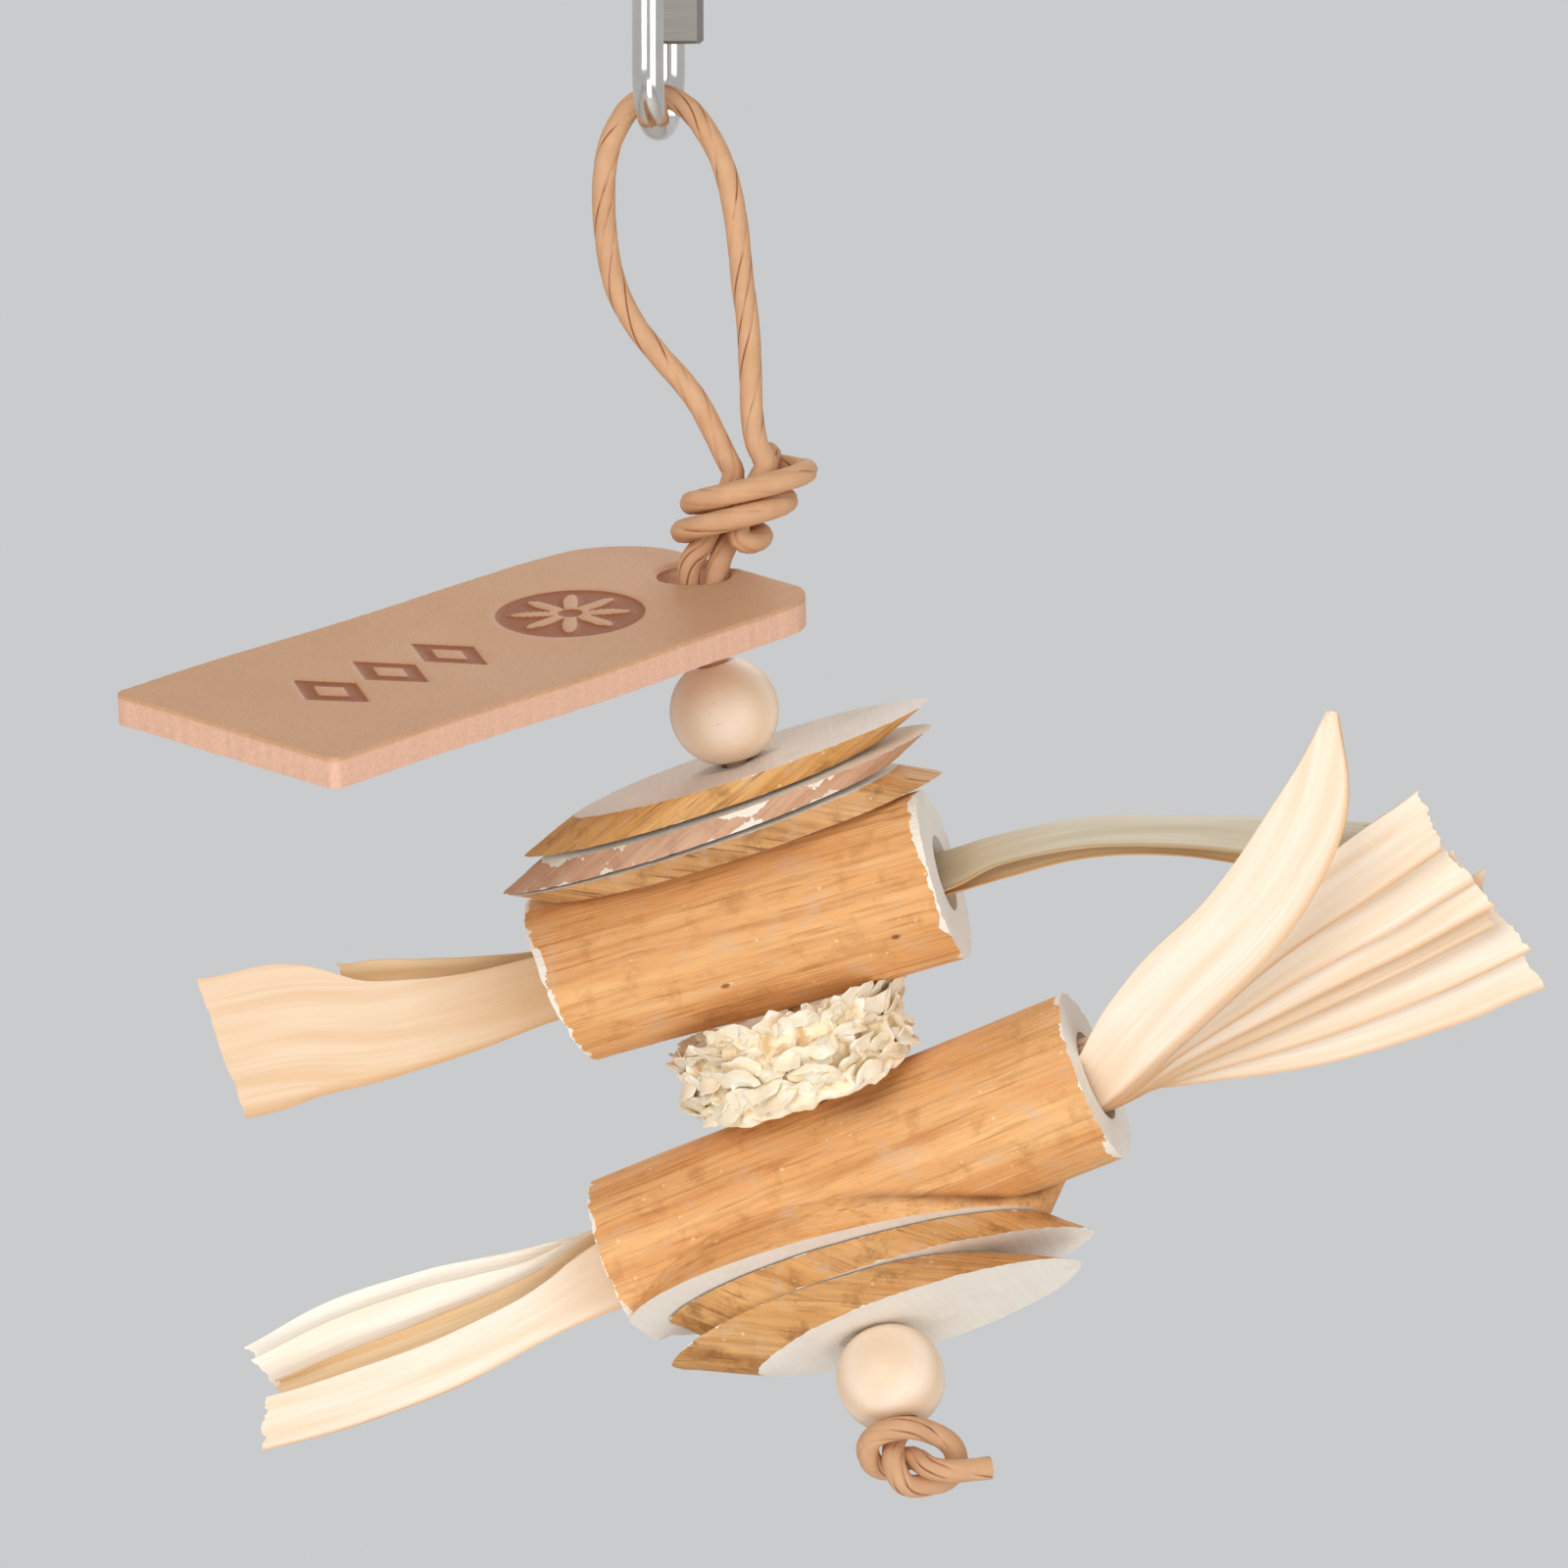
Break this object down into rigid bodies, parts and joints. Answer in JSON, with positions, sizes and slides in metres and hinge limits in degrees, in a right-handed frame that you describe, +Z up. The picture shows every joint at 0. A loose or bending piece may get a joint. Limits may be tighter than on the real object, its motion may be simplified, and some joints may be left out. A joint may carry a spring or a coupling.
{
  "type": "bird foraging toy",
  "caption": "Hanging bird foraging toy: drilled sticks stuffed with corn husk, bark slices, a cob disc, beads and a leather tag on a knotted paper cord under a quick link.",
  "frame": {"origin": "the hang point: inside the top of the quick link, where it hangs on a bar or eye", "axes": "+Z up, +X to the right of the front view, +Y away from it"},
  "size_m": [0.1782, 0.0963, 0.2132],
  "materials": {
    "link_steel": "polished steel",
    "nut_steel": "plated steel",
    "cord": "twisted kraft paper with dark spiral creases",
    "tag_leather": "vegetable-tanned, smooth above, raw at the edge",
    "bead_wood": "bare, sanded",
    "bark_slice": "thin bark round white pith",
    "bark_stick": "golden bark round white pith",
    "cob": "dry chaffy cob",
    "husk": "dry ribbed leaf"
  },
  "bodies": {
    "hanger": {"quick_link_body": "link_steel"},
    "nut": {"quick_link_nut": "nut_steel"},
    "string": {"paper_cord": "cord"},
    "tag": {"leather_tag": "tag_leather"},
    "top_bead": {"top_bead": "bead_wood"},
    "slice_a": {"bark_slice_a": "bark_slice"},
    "slice_b": {"bark_slice_b": "bark_slice"},
    "slice_c": {"bark_slice_c": "bark_slice"},
    "upper_stick": {"upper_stick": "bark_stick"},
    "upper_left_husk": {"upper_left_husk_1": "husk", "upper_left_husk_2": "husk"},
    "upper_right_husk": {"upper_right_husk_1": "husk", "upper_right_husk_2": "husk"},
    "cob": {"corn_cob_slice": "cob"},
    "lower_stick": {"lower_stick": "bark_stick", "paper_cord_tail": "cord"},
    "lower_left_husk": {"lower_left_husk_1": "husk", "lower_left_husk_2": "husk", "lower_left_husk_3": "husk", "lower_left_husk_4": "husk"},
    "lower_right_husk": {"lower_right_husk_1": "husk", "lower_right_husk_2": "husk", "lower_right_husk_3": "husk", "lower_right_husk_4": "husk", "lower_right_husk_5": "husk", "lower_right_husk_6": "husk", "lower_right_husk_7": "husk"},
    "slice_d": {"bark_slice_d": "bark_slice"},
    "slice_e": {"bark_slice_e": "bark_slice"},
    "bottom_bead": {"bottom_bead": "bead_wood"}
  },
  "joints": [
    {"name": "nut_run", "type": "slide", "parent": "hanger", "child": "nut", "axis": [0, 0, 1], "range_m": [0, 0.007]},
    {"name": "toy_swing", "type": "hinge", "parent": "hanger", "child": "string", "pos_m": [0, 0, -0.035], "axis": [0.1736, 0.9848, 0], "range_deg": [-40, 40]},
    {"name": "tag_turn", "type": "hinge", "parent": "string", "child": "tag", "pos_m": [0.0044, 0.0004, -0.0918], "axis": [-0.0299, -0.2317, 0.9723], "continuous": true},
    {"name": "top_bead_turn", "type": "hinge", "parent": "string", "child": "top_bead", "pos_m": [0.00826, 0.0016, -0.10958], "axis": [-0.2427, -0.0872, 0.9662], "continuous": true},
    {"name": "slice_a_turn", "type": "hinge", "parent": "string", "child": "slice_a", "pos_m": [0.01028, 0.00233, -0.11761], "axis": [-0.3093, -0.1392, 0.9407], "continuous": true},
    {"name": "slice_b_turn", "type": "hinge", "parent": "string", "child": "slice_b", "pos_m": [0.01113, 0.00263, -0.12099], "axis": [-0.3224, -0.1392, 0.9363], "continuous": true},
    {"name": "slice_c_turn", "type": "hinge", "parent": "string", "child": "slice_c", "pos_m": [0.01193, 0.00292, -0.12418], "axis": [-0.3126, -0.1392, 0.9396], "continuous": true},
    {"name": "upper_stick_turn", "type": "hinge", "parent": "string", "child": "upper_stick", "pos_m": [0.01508, 0.00405, -0.1367], "axis": [-0.306, -0.1392, 0.9418], "range_deg": [0, 40]},
    {"name": "upper_left_husk_pull", "type": "slide", "parent": "upper_stick", "child": "upper_left_husk", "axis": [-0.9461, 0.1549, -0.2845], "range_m": [0, 0.015]},
    {"name": "upper_right_husk_pull", "type": "slide", "parent": "upper_stick", "child": "upper_right_husk", "axis": [0.9461, -0.1549, 0.2845], "range_m": [0, 0.015]},
    {"name": "cob_turn", "type": "hinge", "parent": "string", "child": "cob", "pos_m": [0.0192, 0.00553, -0.15313], "axis": [-0.3338, -0.0087, 0.9426], "continuous": true},
    {"name": "lower_stick_turn", "type": "hinge", "parent": "string", "child": "lower_stick", "pos_m": [0.02497, 0.00704, -0.16941], "axis": [-0.4122, -0.1392, 0.9004], "range_deg": [-40, 0]},
    {"name": "lower_left_husk_pull", "type": "slide", "parent": "lower_stick", "child": "lower_left_husk", "axis": [-0.9036, 0.189, -0.3845], "range_m": [0, 0.018]},
    {"name": "lower_right_husk_pull", "type": "slide", "parent": "lower_stick", "child": "lower_right_husk", "axis": [0.9036, -0.189, 0.3845], "range_m": [0, 0.018]},
    {"name": "slice_d_turn", "type": "hinge", "parent": "lower_stick", "child": "slice_d", "pos_m": [0.02651, 0.00315, -0.18318], "axis": [-0.2168, 0.5, 0.8384], "continuous": true},
    {"name": "slice_e_turn", "type": "hinge", "parent": "lower_stick", "child": "slice_e", "pos_m": [0.02755, 0.00075, -0.18721], "axis": [-0.2168, 0.5, 0.8384], "continuous": true},
    {"name": "bottom_bead_turn", "type": "hinge", "parent": "lower_stick", "child": "bottom_bead", "pos_m": [0.0295, -0.00375, -0.19475], "axis": [-0.2168, 0.5, 0.8384], "continuous": true}
  ]
}
